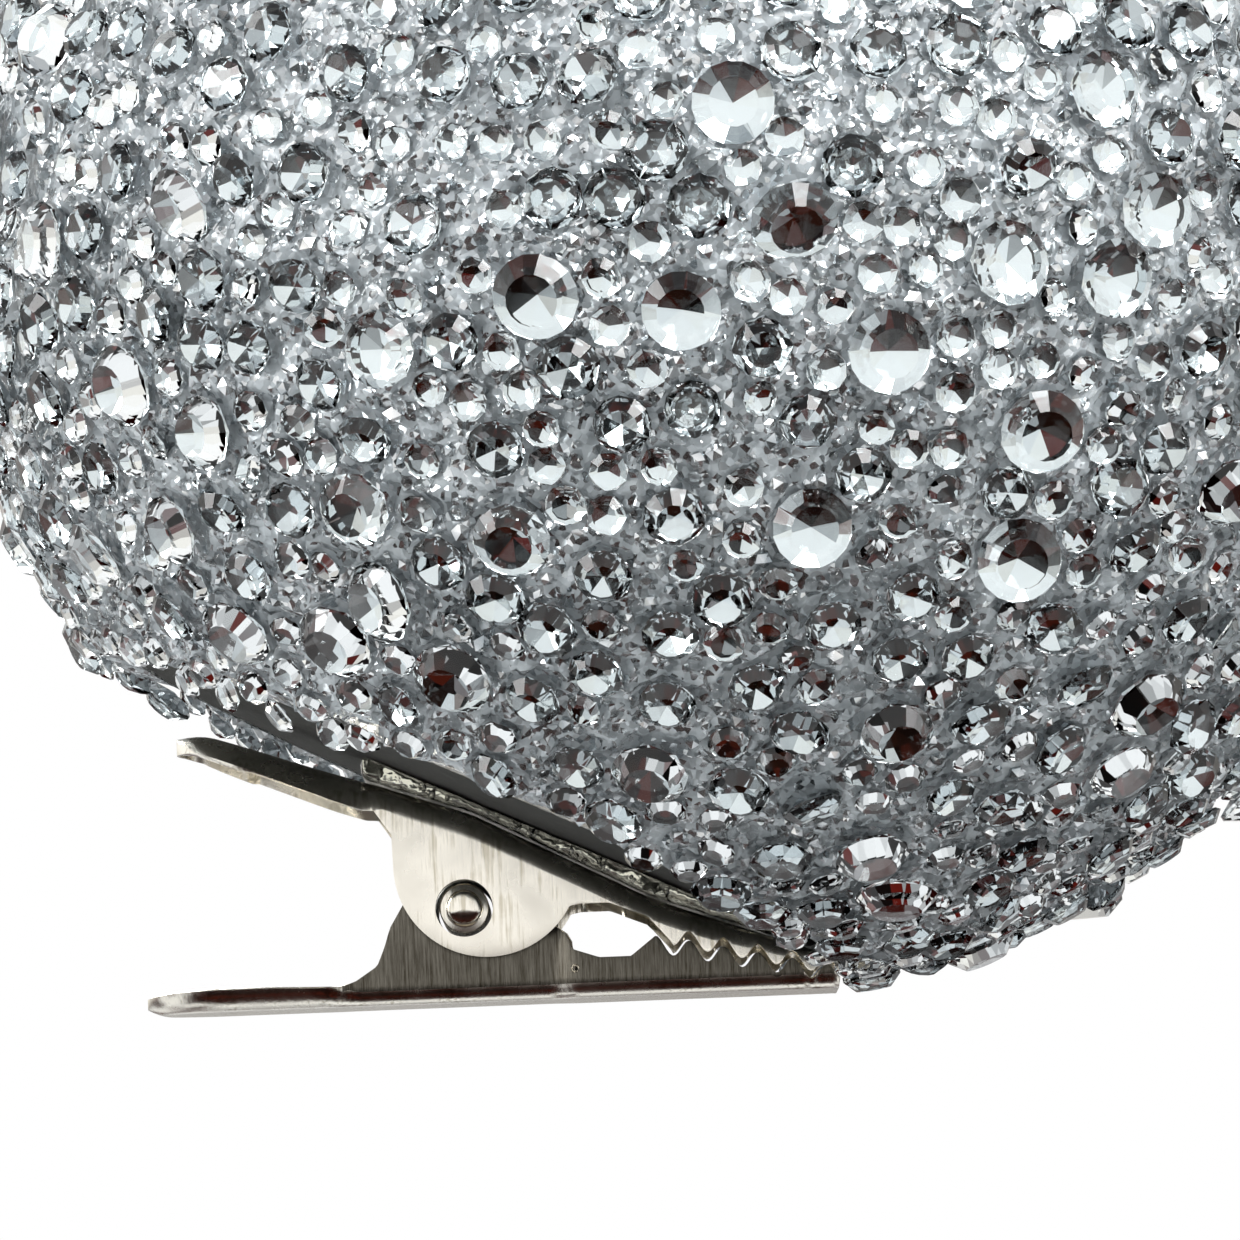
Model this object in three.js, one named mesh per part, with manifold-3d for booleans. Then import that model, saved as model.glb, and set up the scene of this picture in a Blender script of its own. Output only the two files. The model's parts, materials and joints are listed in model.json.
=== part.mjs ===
// Rhinestone pouf hair clip: a toothed steel spring clip glued under a foam ball with a flat base,
// covered with a glittered sheet of foil-backed stones.
// Units are millimetres, +Z is up, +X runs to the jaw tips, and +Y is across the clip.
// The origin is on the flat bottom of the lower lever, straight below the pivot.
import * as THREE from 'three';
import { mergeVertices } from 'three/addons/utils/BufferGeometryUtils.js';
import Module from 'manifold-3d';

const wasm = await Module();
wasm.setup();

// ---- driving dimensions --------------------------------------------------------------------
const clipWidth = 8;            // over both flanges
const sheetSteel = 0.4;         // thickness of the stamped strip
const jawLength = 18.7;         // pivot to jaw tip
const handleLength = 16.3;      // pivot to the end of the lower handle
const pivotHeight = 4.7;        // pivot above the clip's flat bottom
const pinRadius = 1.25;
const pinClearance = 0.2;       // pin to the holes in the four cheeks
const cheekClearance = 0.15;    // lower cheeks to the upper ears, each side
const earRadius = 4.7;          // round ears of the upper lever
const cheekRadius = 3.1;        // round top of the lower cheeks, about the pivot
const toothPitch = 1.72;
const toothDepthLower = 0.9;    // peak to valley
const toothDepthUpper = 0.66;
const wireDiameter = 0.7;
const upperLegReach = 3;        // leg ends, measured back from the pivot
const lowerLegReach = 5.2;
const coilTurns = 3;            // whole turns between the two legs
const coilPitch = 0.85;         // along the pin, per turn
const springGap = 0.15;         // wire to the pin and to the levers

const ballRadius = 39.2;        // over the sheet, below the widest line
const crownHeight = 34;         // widest line to the top of the sheet
const baseDepth = 32.6;         // widest line down to the flat base
const baseLean = 1.27;          // degrees that the base is steeper than the lever's back under it
const stoneSheet = 1;           // thickness of the sheet that holds the stones
const feltThickness = 0.8;
const glueGap = 0.7;            // upper lever to the flat base, at the knee
const layerGap = 0.3;           // between the layers of the ornament
const stoneDiameter = 4;
const stoneHeight = 1.6;
const stoneGap = 0.1;           // flat back of a stone to the sheet
const rimRow = { aboveEdge: 8.26, count: 10, offset: 0 };  // degrees above the base's edge
const stoneRows = [             // rows of large stones: degrees above the widest line, and how many
  { elevation: -25, count: 10, offset: 0 },
  { elevation: 0, count: 12, offset: 0 },
  { elevation: 25, count: 8, offset: 0.5 },
  { elevation: 52, count: 5, offset: 0 },
];

// ---- shared helpers ------------------------------------------------------------------------
const degrees = Math.PI / 180;
const circleSegments = 24;
const ballSegments = 32;
const overcut = 2;

function toSolid(geometry) {
  const bare = geometry.index ? geometry.toNonIndexed() : geometry.clone();
  bare.deleteAttribute('normal');
  bare.deleteAttribute('uv');
  const merged = mergeVertices(bare, 1e-5);
  return new wasm.Manifold(new wasm.Mesh({
    numProp: 3,
    vertProperties: new Float32Array(merged.attributes.position.array),
    triVerts: new Uint32Array(merged.index.array),
  }));
}

function toGeometry(solid) {
  const mesh = solid.getMesh();
  const geometry = new THREE.BufferGeometry();
  geometry.setAttribute('position', new THREE.BufferAttribute(mesh.vertProperties, mesh.numProp));
  geometry.setIndex(new THREE.BufferAttribute(mesh.triVerts, 1));
  geometry.computeVertexNormals();
  return geometry;
}

// A side outline in X and Z, as a plate of the given width centred on Y = 0.
function sidePlate(shape, width) {
  const geometry = new THREE.ExtrudeGeometry(shape, {
    depth: width,
    bevelEnabled: false,
    curveSegments: circleSegments,
  });
  geometry.translate(0, 0, -width / 2);
  geometry.rotateX(Math.PI / 2);
  return geometry;
}

// A plan outline in X and Y, as a column from one height to another.
function planColumn(shape, bottom, top) {
  const geometry = new THREE.ExtrudeGeometry(shape, {
    depth: top - bottom,
    bevelEnabled: false,
    curveSegments: circleSegments,
  });
  geometry.translate(0, 0, bottom);
  return geometry;
}

function crossPin(radius, length, x, z) {
  const geometry = new THREE.CylinderGeometry(radius, radius, length, circleSegments);
  geometry.translate(x, 0, z);
  return geometry;
}

function outline(points) {
  return new THREE.Shape(points.map(([x, y]) => new THREE.Vector2(x, y)));
}

// ---- lines shared by the two levers --------------------------------------------------------
const pivot = { x: 0, z: pivotHeight };
const earCentre = { x: 1.2, z: pivotHeight + 2.2 };
const knee = [0.5, pivotHeight + 4.8];
const neck = [jawLength - 9.2, pivotHeight + 0.15];
const upperTip = [jawLength, 1.5];
const upperHandleEnd = [-handleLength + 2.9, pivotHeight + 9.6];
// The base leans down towards the jaws, in degrees, and follows the lever's back from knee to tip.
const baseTilt = Math.atan2(knee[1] - upperTip[1], upperTip[0] - knee[0]) / degrees + baseLean;
const lowerTeethStart = [jawLength - 9.1, 2.3];
const lowerTeethEnd = [jawLength, 0.68];
const cheekSpan = [-5.6, 5.3];  // stretch of the lower lever that fits between the ears
const innerHalf = clipWidth / 2 - sheetSteel - cheekClearance;
const holeRadius = pinRadius + pinClearance;

// Rounded teeth along a straight line, from its start to its end: a wave with its peaks up.
function teeth(start, end, depth) {
  const points = [];
  const stepsPerTooth = 6;
  const length = end[0] - start[0];
  const steps = Math.round(length / toothPitch * stepsPerTooth);
  for (let i = 0; i <= steps; i += 1) {
    const x = start[0] + length * i / steps;
    const line = start[1] + (end[1] - start[1]) * i / steps;
    const phase = 2 * Math.PI * (jawLength - 0.55 - x) / toothPitch;
    points.push([x, line + depth / 2 * Math.cos(phase)]);
  }
  return points;
}

// The strip's plan: full width, with a half-round end at the handle and a waist between the ears.
function stripPlan(end, tip, half, waist, waistHalf) {
  const shape = new THREE.Shape();
  shape.moveTo(tip, half);
  if (waist) {
    shape.lineTo(waist[1], half);
    shape.lineTo(waist[1] - 0.3, waistHalf);
    shape.lineTo(waist[0] + 0.3, waistHalf);
    shape.lineTo(waist[0], half);
  }
  shape.lineTo(end + half, half);
  shape.absarc(end + half, 0, half, Math.PI / 2, Math.PI * 3 / 2, false);
  if (waist) {
    shape.lineTo(waist[0], -half);
    shape.lineTo(waist[0] + 0.3, -waistHalf);
    shape.lineTo(waist[1] - 0.3, -waistHalf);
    shape.lineTo(waist[1], -half);
  }
  shape.lineTo(tip, -half);
  return shape;
}

// A folded strip: the side outline cut to the plan, hollowed to the thickness of the steel.
function foldedStrip(side, hollow, plan, hollowPlan) {
  const tall = [-overcut, 5 * pivotHeight];
  const outer = toSolid(sidePlate(side, clipWidth + overcut)).intersect(toSolid(planColumn(plan, ...tall)));
  const inner = toSolid(sidePlate(hollow, clipWidth)).intersect(toSolid(planColumn(hollowPlan, ...tall)));
  const bore = toSolid(crossPin(holeRadius, clipWidth + overcut, pivot.x, pivot.z));
  return toGeometry(outer.subtract(inner).subtract(bore));
}

// ---- upper lever ---------------------------------------------------------------------------
function upperTopLine(drop) {
  return [
    [upperHandleEnd[0], upperHandleEnd[1] - drop],
    [knee[0], knee[1] - drop],
    [neck[0], neck[1] - drop],
    [upperTip[0], upperTip[1] - drop],
  ];
}

function upperLever() {
  const side = new THREE.Shape();
  const line = upperTopLine(0);
  side.moveTo(line[0][0] - 1, line[0][1] - 0.45);
  side.lineTo(line[0][0], line[0][1]);
  line.slice(1).forEach(([x, z]) => side.lineTo(x, z));
  const start = [neck[0] + 0.9, neck[1] - 1.75];
  const end = [jawLength, upperTip[1] - sheetSteel - 0.05];
  teeth(start, end, toothDepthUpper).reverse().forEach(([x, z]) => side.lineTo(x, z));
  side.lineTo(neck[0] - 0.3, neck[1] - 0.9);
  side.lineTo(neck[0] - 2.2, neck[1] - 0.15);
  side.lineTo(neck[0] - 3.7, neck[1] - 0.15);
  side.absarc(earCentre.x, earCentre.z, earRadius, -29 * degrees, -200 * degrees, true);
  side.lineTo(-4.4, knee[1] + 0.35);
  side.lineTo(-6.5, knee[1] + 0.9);
  side.lineTo(line[0][0] + 0.1, line[0][1] - 1.15);
  const web = upperTopLine(sheetSteel);
  const hollow = outline([
    [web[0][0] - 4, web[0][1] + 1.3],
    ...web.slice(0, 3),
    [web[3][0] + overcut, web[3][1] - 0.7],
    [web[3][0] + overcut, -overcut],
    [web[0][0] - 4, -overcut],
  ]);
  const half = clipWidth / 2;
  const end0 = line[0][0] - 1;
  return foldedStrip(
    side,
    hollow,
    stripPlan(end0, jawLength, half),
    stripPlan(end0 + sheetSteel, jawLength + overcut, half - sheetSteel),
  );
}

// ---- lower lever ---------------------------------------------------------------------------
function lowerLever() {
  const side = new THREE.Shape();
  side.moveTo(-handleLength + 0.9, 0);
  side.lineTo(jawLength, 0);
  teeth(lowerTeethStart, lowerTeethEnd, toothDepthLower).reverse()
    .forEach(([x, z]) => side.lineTo(x, z));
  side.lineTo(jawLength - 10.4, 1.97);
  side.lineTo(jawLength - 12, 1.97);
  side.lineTo(cheekSpan[1], 2.45);
  side.lineTo(cheekSpan[1] - 0.2, 3.2);
  side.absarc(pivot.x, pivot.z, cheekRadius, 0, 174 * degrees, false);
  side.lineTo(-3.8, pivotHeight - 0.85);
  side.lineTo(-4.5, 1.97);
  side.lineTo(-6.4, 0.62);
  side.lineTo(-10, 1.02);
  side.lineTo(-handleLength + 2.6, 1.02);
  side.lineTo(-handleLength + 0.3, 0.75);
  side.lineTo(-handleLength, 0.4);
  const hollow = outline([
    [-handleLength - overcut, sheetSteel],
    [jawLength + overcut, sheetSteel],
    [jawLength + overcut, 3 * pivotHeight],
    [-handleLength - overcut, 3 * pivotHeight],
  ]);
  const half = clipWidth / 2;
  return foldedStrip(
    side,
    hollow,
    stripPlan(-handleLength, jawLength, half, cheekSpan, innerHalf),
    stripPlan(-handleLength + sheetSteel, jawLength + overcut, half - sheetSteel,
      [cheekSpan[0] - sheetSteel, cheekSpan[1] + sheetSteel], innerHalf - sheetSteel),
  );
}

// ---- pivot pin and torsion spring ----------------------------------------------------------
function pivotPin() {
  const bossRadius = pinRadius - 0.35;
  const half = clipWidth / 2;
  const profile = [
    [0, -half - 0.15],
    [bossRadius, -half - 0.15],
    [bossRadius, -half + 0.15],
    [pinRadius, -half + 0.15],
    [pinRadius, half - 0.15],
    [bossRadius, half - 0.15],
    [bossRadius, half + 0.15],
    [0, half + 0.15],
  ].map(([r, y]) => new THREE.Vector2(r, y));
  const geometry = new THREE.LatheGeometry(profile, circleSegments);
  geometry.translate(pivot.x, 0, pivot.z);
  return geometry;
}

// The wire's centre line: upper leg, coil about the pin, lower leg.
class SpringLine extends THREE.Curve {
  constructor() {
    super();
    this.radius = pinRadius + springGap + wireDiameter / 2;
    const slope = (knee[1] - upperHandleEnd[1]) / (knee[0] - upperHandleEnd[0]);
    const clear = sheetSteel + springGap + wireDiameter / 2;
    const upperX = pivot.x - upperLegReach;
    const upperZ = knee[1] + slope * (upperX - knee[0]) - (clear + wireDiameter) * Math.hypot(1, slope);
    this.upper = this.leg(-upperLegReach, upperZ - pivot.z, -1);
    this.lower = this.leg(-lowerLegReach, clear - pivot.z, 1);
    this.sweep = this.upper.angle - this.lower.angle + 2 * Math.PI * (coilTurns + 1);
    this.halfWidth = this.sweep / (2 * Math.PI) * coilPitch / 2;
    const coil = this.sweep * this.radius;
    this.total = this.upper.length + coil + this.lower.length;
    this.coilStart = this.upper.length / this.total;
    this.coilEnd = 1 - this.lower.length / this.total;
  }

  // The end of a leg, and the angle at which the leg leaves the coil.
  leg(x, z, side) {
    const distance = Math.hypot(x, z);
    const angle = Math.atan2(z, x) + side * Math.acos(this.radius / distance);
    return { x, z, angle, length: Math.sqrt(distance ** 2 - this.radius ** 2) };
  }

  coilPoint(turned) {
    const angle = this.upper.angle - turned * this.sweep;
    return new THREE.Vector3(
      pivot.x + this.radius * Math.cos(angle),
      this.halfWidth * (1 - 2 * turned),
      pivot.z + this.radius * Math.sin(angle),
    );
  }

  getPoint(t) {
    if (t < this.coilStart) {
      const end = new THREE.Vector3(pivot.x + this.upper.x, this.halfWidth, pivot.z + this.upper.z);
      return end.lerp(this.coilPoint(0), t / this.coilStart);
    }
    if (t > this.coilEnd) {
      const end = new THREE.Vector3(pivot.x + this.lower.x, -this.halfWidth, pivot.z + this.lower.z);
      return this.coilPoint(1).lerp(end, (t - this.coilEnd) / (1 - this.coilEnd));
    }
    return this.coilPoint((t - this.coilStart) / (this.coilEnd - this.coilStart));
  }
}

function torsionSpring() {
  const section = new THREE.Shape();
  section.absarc(0, 0, wireDiameter / 2, 0, 2 * Math.PI, false);
  return new THREE.ExtrudeGeometry(section, {
    steps: 64,
    curveSegments: 4,
    bevelEnabled: false,
    extrudePath: new SpringLine(),
  });
}

// ---- glue between the clip and the ornament ------------------------------------------------
// Height of the flat base above a point of the upper lever's back, measured straight up.
function baseHeightAt(x) {
  const tilt = baseTilt * degrees;
  return knee[1] + glueGap / Math.cos(tilt) - (x - knee[0]) * Math.tan(tilt);
}

function glueBead() {
  const startX = -5;
  const endX = jawLength - 3;
  const skin = 0.12;
  const slope = (upperHandleEnd[1] - knee[1]) / (upperHandleEnd[0] - knee[0]);
  const tipSlope = (upperTip[1] - neck[1]) / (upperTip[0] - neck[0]);
  const side = outline([
    [startX, knee[1] + slope * (startX - knee[0]) + skin],
    [knee[0], knee[1] + skin],
    [neck[0], neck[1] + skin],
    [endX, neck[1] + tipSlope * (endX - neck[0]) + skin],
    [endX, baseHeightAt(endX) - skin],
    [startX, baseHeightAt(startX) - skin],
  ]);
  return sidePlate(side, clipWidth - 1.4);
}

// ---- ornament, in its own frame: z = 0 is the flat base, and +z points to the crown --------
function baseEdge(inset) {
  return Math.sqrt((ballRadius - inset) ** 2 - baseDepth ** 2);
}

// Points of the ball's profile from the base edge to the top, set in from the sheet's face.
function ballProfile(inset, floor) {
  const points = [];
  const radius = ballRadius - inset;
  const crown = crownHeight - inset;
  const lowest = -Math.asin((baseDepth - floor) / radius);
  const rowsBelow = 5;
  const rowsAbove = 7;
  for (let i = 0; i < rowsBelow; i += 1) {
    const angle = lowest * (1 - i / rowsBelow);
    points.push([radius * Math.cos(angle), baseDepth + radius * Math.sin(angle)]);
  }
  for (let i = 0; i < rowsAbove; i += 1) {
    const angle = Math.PI / 2 * i / rowsAbove;
    points.push([radius * Math.cos(angle), baseDepth + crown * Math.sin(angle)]);
  }
  points.push([0, baseDepth + crown]);
  return points;
}

function turned(profile) {
  const points = profile.map(([r, z]) => new THREE.Vector2(r, z));
  const geometry = new THREE.LatheGeometry(points, ballSegments);
  geometry.rotateX(Math.PI / 2);
  return geometry;
}

function rhinestoneSheet() {
  const outside = ballProfile(0, 0);
  const inside = ballProfile(stoneSheet, 0).reverse();
  return turned([...inside, ...outside]);
}

function foamCore() {
  const inset = stoneSheet + layerGap;
  const floor = feltThickness + layerGap;
  return turned([[0, floor], ...ballProfile(inset, floor)]);
}

function feltDisc() {
  const radius = baseEdge(stoneSheet) - layerGap;
  return turned([[0, 0], [radius, 0], [radius, feltThickness], [0, feltThickness]]);
}

// A flat-backed stone: girdle, sloping crown and a flat table.
function stone() {
  const facets = 8;
  const girdle = 0.3;
  const radius = stoneDiameter / 2;
  const profile = [
    [0, 0],
    [radius, 0],
    [radius, girdle],
    [radius * 0.4, stoneHeight],
    [0, stoneHeight],
  ].map(([r, y]) => new THREE.Vector2(r, y));
  const geometry = new THREE.LatheGeometry(profile, facets);
  geometry.rotateX(Math.PI / 2);
  return geometry;
}

// ---- materials -----------------------------------------------------------------------------
const nickel = { color: 0xd8d4c8, roughness: 0.22, metalness: 1 };
const brushedNickel = { color: 0xb4b0a6, roughness: 0.32, metalness: 1 };
const springSteel = { color: 0x9a9c9e, roughness: 0.3, metalness: 1 };
const clearGlue = { color: 0xd9dad2, roughness: 0.2, metalness: 0 };
const darkFelt = { color: 0x2b2c29, roughness: 0.95, metalness: 0 };
const whiteFoam = { color: 0xf0f0ee, roughness: 0.9, metalness: 0 };
const silverGlitter = { color: 0x84898c, roughness: 0.4, metalness: 0.6 };
const foiledCrystal = { color: 0xe6ebee, roughness: 0.05, metalness: 0.7 };

function part(name, geometry, finish) {
  const mesh = new THREE.Mesh(geometry, new THREE.MeshStandardMaterial(finish));
  mesh.name = name;
  return mesh;
}

// ---- assembly ------------------------------------------------------------------------------
const clip = new THREE.Group();
clip.add(part('upper_lever', upperLever(), nickel));
clip.add(part('lower_lever', lowerLever(), brushedNickel));
clip.add(part('pivot_pin', pivotPin(), nickel));
clip.add(part('torsion_spring', torsionSpring(), springSteel));
clip.add(part('glue_bead', glueBead(), clearGlue));

const ornament = new THREE.Group();
const tilt = baseTilt * degrees;
ornament.rotation.y = tilt;
ornament.position.set(
  knee[0] + glueGap * Math.sin(tilt),
  0,
  knee[1] + glueGap * Math.cos(tilt),
);
ornament.add(part('felt_disc', feltDisc(), darkFelt));
ornament.add(part('foam_core', foamCore(), whiteFoam));
ornament.add(part('rhinestone_sheet', rhinestoneSheet(), silverGlitter));

let stoneNumber = 0;
function addStone(elevation, turn) {
  const rise = Math.sin(elevation) < 0 ? ballRadius : crownHeight;
  const place = new THREE.Vector3(
    ballRadius * Math.cos(elevation) * Math.cos(turn),
    ballRadius * Math.cos(elevation) * Math.sin(turn),
    rise * Math.sin(elevation),
  );
  const outward = new THREE.Vector3(
    place.x / ballRadius ** 2,
    place.y / ballRadius ** 2,
    place.z / rise ** 2,
  ).normalize();
  stoneNumber += 1;
  const name = `rhinestone_${String(stoneNumber).padStart(2, '0')}`;
  const mesh = part(name, stone(), foiledCrystal);
  mesh.quaternion.setFromUnitVectors(new THREE.Vector3(0, 0, 1), outward);
  mesh.position.copy(place).addScaledVector(outward, stoneGap);
  mesh.position.z += baseDepth;
  ornament.add(mesh);
}

function addRow(elevation, { count, offset }) {
  for (let i = 0; i < count; i += 1) {
    addStone(elevation, 2 * Math.PI * (i + offset) / count);
  }
}

addRow(rimRow.aboveEdge * degrees - Math.asin(baseDepth / ballRadius), rimRow);
stoneRows.forEach((row) => addRow(row.elevation * degrees, row));
addStone(Math.PI / 2, 0);
clip.add(ornament);

export default clip;
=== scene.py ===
"""Rhinestone pouf hair clip: a toothed spring clip of plated steel under a puffed silver ball.

Everything is in metres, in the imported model's own frame. Sizes are named in millimetres below.
"""
import json
import math

import bmesh
import bpy
import numpy as np
from mathutils import Matrix, Vector, kdtree, noise


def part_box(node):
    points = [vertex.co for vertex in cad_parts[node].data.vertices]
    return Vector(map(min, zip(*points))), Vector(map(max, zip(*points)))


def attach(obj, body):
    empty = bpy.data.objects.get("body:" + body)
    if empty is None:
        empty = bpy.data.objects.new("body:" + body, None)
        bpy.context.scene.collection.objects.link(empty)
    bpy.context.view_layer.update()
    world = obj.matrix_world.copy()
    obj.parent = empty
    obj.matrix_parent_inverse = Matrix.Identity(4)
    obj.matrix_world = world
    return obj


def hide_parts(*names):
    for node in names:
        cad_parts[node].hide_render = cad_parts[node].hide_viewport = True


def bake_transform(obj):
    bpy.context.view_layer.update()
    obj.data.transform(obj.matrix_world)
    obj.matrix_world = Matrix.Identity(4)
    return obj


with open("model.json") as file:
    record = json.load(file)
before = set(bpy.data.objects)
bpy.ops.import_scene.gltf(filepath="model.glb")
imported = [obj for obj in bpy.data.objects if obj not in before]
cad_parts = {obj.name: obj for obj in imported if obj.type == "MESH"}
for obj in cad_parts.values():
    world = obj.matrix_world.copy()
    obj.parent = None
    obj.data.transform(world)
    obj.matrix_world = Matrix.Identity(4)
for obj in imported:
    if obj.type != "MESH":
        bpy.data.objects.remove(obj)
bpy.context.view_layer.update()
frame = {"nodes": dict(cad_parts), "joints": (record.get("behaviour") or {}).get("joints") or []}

MM = 0.001
rng = np.random.default_rng(35)

# ---- sizes, in millimetres -----------------------------------------------------------------
STEEL = 0.4                # strip that the levers are stamped from
EDGE_ROUND = 0.16          # rounding of the strip's cut edges
PIN_RADIUS = 1.25
WIRE = 0.7                 # spring wire
CLEARANCE = 0.15           # between parts that slide past each other
TOOTH_PITCH = 1.72
BASE_TILT = math.radians(25)
STONE_SIZES = {            # name: diameter, facets of the crown, how many
    "large": (4.0, 16, 210),
    "medium": (3.0, 12, 600),
    "small": (2.0, 10, 1500),
}
STONE_LIFT = 0.05          # tip of a stone's foiled back to the resin's face
BEAD_SIZES = (0.4, 1.1)    # smallest and largest micro-bead
BEAD_COUNT = 8000
STONE_TRIES = 14           # places tried for each stone that is asked for
BEAD_TRIES = 5

hinge = frame["joints"][0]
PIVOT_Z = hinge["pos_m"][2] / MM
JAW_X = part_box("lower_lever")[1][0] / MM
HANDLE_X = -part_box("lower_lever")[0][0] / MM
HALF_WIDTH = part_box("lower_lever")[1][1] / MM
UPPER_END_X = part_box("upper_lever")[0][0] / MM

# The ball: the two points of the sheet that lie farthest along Y give its centre and radius.
sheet_points = [v.co.copy() for v in frame["nodes"]["rhinestone_sheet"].data.vertices]
west = min(sheet_points, key=lambda p: p.y)
east = max(sheet_points, key=lambda p: p.y)
BALL_CENTRE = (west + east) / 2
SKIN_SINK = 0.5            # the resin lies this far under the sheet's face, so stones stand proud
BALL_RADIUS = (east - west).length / 2 / MM - SKIN_SINK
TO_WORLD = Matrix.Translation(BALL_CENTRE) @ Matrix.Rotation(BASE_TILT, 4, "Y")
TO_BALL = TO_WORLD.inverted()
local_z = [(TO_BALL @ p).z / MM for p in sheet_points]
BASE_DEPTH = -min(local_z)
CROWN_HEIGHT = max(local_z) - SKIN_SINK


# ---- materials -----------------------------------------------------------------------------
def srgb(hex_colour):
    """A hex colour as the linear RGBA that shaders use."""
    channels = [int(hex_colour[i:i + 2], 16) / 255 for i in (1, 3, 5)]
    linear = [c / 12.92 if c <= 0.04045 else ((c + 0.055) / 1.055) ** 2.4 for c in channels]
    return (*linear, 1.0)


def add(tree, kind, inputs=None, **settings):
    """Adds a node with its settings. An input is a value, or an output socket to link from."""
    made = tree.nodes.new(kind)
    for name, value in settings.items():
        setattr(made, name, value)
    for name, value in (inputs or {}).items():
        if isinstance(value, bpy.types.NodeSocket):
            tree.links.new(value, made.inputs[name])
        else:
            made.inputs[name].default_value = value
    return made


def ramp(tree, source, stops):
    """A colour ramp with the given (position, hex colour) stops."""
    made = add(tree, "ShaderNodeValToRGB", {"Fac": source})
    elements = made.color_ramp.elements
    for element, (position, colour) in zip(elements, stops):
        element.position = position
        element.color = srgb(colour)
    for position, colour in stops[2:]:
        elements.new(position).color = srgb(colour)
    return made.outputs["Color"]


def new_material(name):
    material = bpy.data.materials.new(name)
    material.use_nodes = True
    tree = material.node_tree
    tree.nodes.clear()
    coordinates = add(tree, "ShaderNodeTexCoord").outputs["Object"]
    return material, tree, coordinates


def finish_material(material, tree, shader):
    add(tree, "ShaderNodeOutputMaterial", {"Surface": shader})
    return material


def per_metre(size_mm):
    """Scale of a noise or Voronoi pattern whose features are about this many millimetres."""
    return 1 / (size_mm * MM)


def nickel_plate():
    """Bright nickel plate on stamped steel: a warm mirror with faint die marks and handling haze."""
    material, tree, place = new_material("nickel_plate")
    haze = add(tree, "ShaderNodeTexNoise", {"Vector": place, "Scale": per_metre(2.2), "Detail": 4.0})
    along = add(tree, "ShaderNodeMapping", {"Vector": place, "Scale": (1.0, 1.0, 0.07)})
    marks = add(tree, "ShaderNodeTexNoise",
                {"Vector": along.outputs[0], "Scale": per_metre(0.22), "Detail": 3.0})
    rough = add(tree, "ShaderNodeMapRange",
                {"Value": haze.outputs["Fac"], "From Min": 0.35, "From Max": 0.75,
                 "To Min": 0.20, "To Max": 0.34})
    bump = add(tree, "ShaderNodeBump",
               {"Height": marks.outputs["Fac"], "Strength": 0.2, "Distance": 0.05 * MM})
    worn = add(tree, "ShaderNodeMath", {0: haze.outputs["Fac"], 1: marks.outputs["Fac"]})
    tint = ramp(tree, add(tree, "ShaderNodeMath", {0: worn.outputs[0], 1: 0.5},
                          operation="MULTIPLY").outputs[0],
                [(0.37, "#d0c9b8"), (0.47, "#f7f2e6")])
    shader = add(tree, "ShaderNodeBsdfPrincipled",
                 {"Base Color": tint, "Metallic": 1.0, "Roughness": rough.outputs[0],
                  "Normal": bump.outputs[0]})
    return finish_material(material, tree, shader.outputs[0])


def brushed_nickel_painted_shade():
    """Nickel over the strip's rolled grain: fine upright brush lines that blur the reflection, on a base
    colour far darker than the plate's, which is painted shade.
    """
    material, tree, place = new_material("brushed_nickel_painted_shade")
    along = add(tree, "ShaderNodeMapping", {"Vector": place, "Scale": (1.0, 1.0, 0.05)})
    grain = add(tree, "ShaderNodeTexNoise",
                {"Vector": along.outputs[0], "Scale": per_metre(0.10), "Detail": 5.0,
                 "Roughness": 0.7})
    patches = add(tree, "ShaderNodeTexNoise", {"Vector": place, "Scale": per_metre(1.6), "Detail": 3.0})
    # painted shade: the cheeks' base colour runs from near black to dark grey-brown, far darker than
    # plated nickel
    tint = ramp(tree, grain.outputs["Fac"], [(0.34, "#3f3a31"), (0.66, "#77736a")])
    rough = add(tree, "ShaderNodeMapRange",
                {"Value": patches.outputs["Fac"], "To Min": 0.26, "To Max": 0.46})
    bump = add(tree, "ShaderNodeBump",
               {"Height": grain.outputs["Fac"], "Strength": 0.35, "Distance": 0.04 * MM})
    shader = add(tree, "ShaderNodeBsdfPrincipled",
                 {"Base Color": tint, "Metallic": 1.0, "Roughness": rough.outputs[0],
                  "Normal": bump.outputs[0]})
    return finish_material(material, tree, shader.outputs[0])


def cut_edge_painted_highlight():
    """The plated edge of the stamped strip, rounded by tumbling: a near-white, half-matte copy of the
    nickel, so that it glints from all sides as a painted highlight.
    """
    material, tree, place = new_material("nickel_edge_painted_highlight")
    wear = add(tree, "ShaderNodeTexNoise", {"Vector": place, "Scale": per_metre(0.8), "Detail": 3.0})
    # painted highlight: a near-white base with metallic 0.4 and roughness 0.4 makes the rims catch
    # diffuse light as bright lines
    tint = ramp(tree, wear.outputs["Fac"], [(0.35, "#d3cfc3"), (0.6, "#fdfaf2")])
    shader = add(tree, "ShaderNodeBsdfPrincipled",
                 {"Base Color": tint, "Metallic": 0.4, "Roughness": 0.4})
    return finish_material(material, tree, shader.outputs[0])


def spring_steel():
    """Drawn music wire: grey steel with lengthwise drawing lines, duller than the plated levers."""
    material, tree, place = new_material("spring_steel")
    lines = add(tree, "ShaderNodeTexNoise", {"Vector": place, "Scale": per_metre(0.15), "Detail": 3.0})
    tint = ramp(tree, lines.outputs["Fac"], [(0.3, "#73767a"), (0.7, "#a3a6a9")])
    shader = add(tree, "ShaderNodeBsdfPrincipled",
                 {"Base Color": tint, "Metallic": 1.0, "Roughness": 0.28})
    return finish_material(material, tree, shader.outputs[0])


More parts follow.
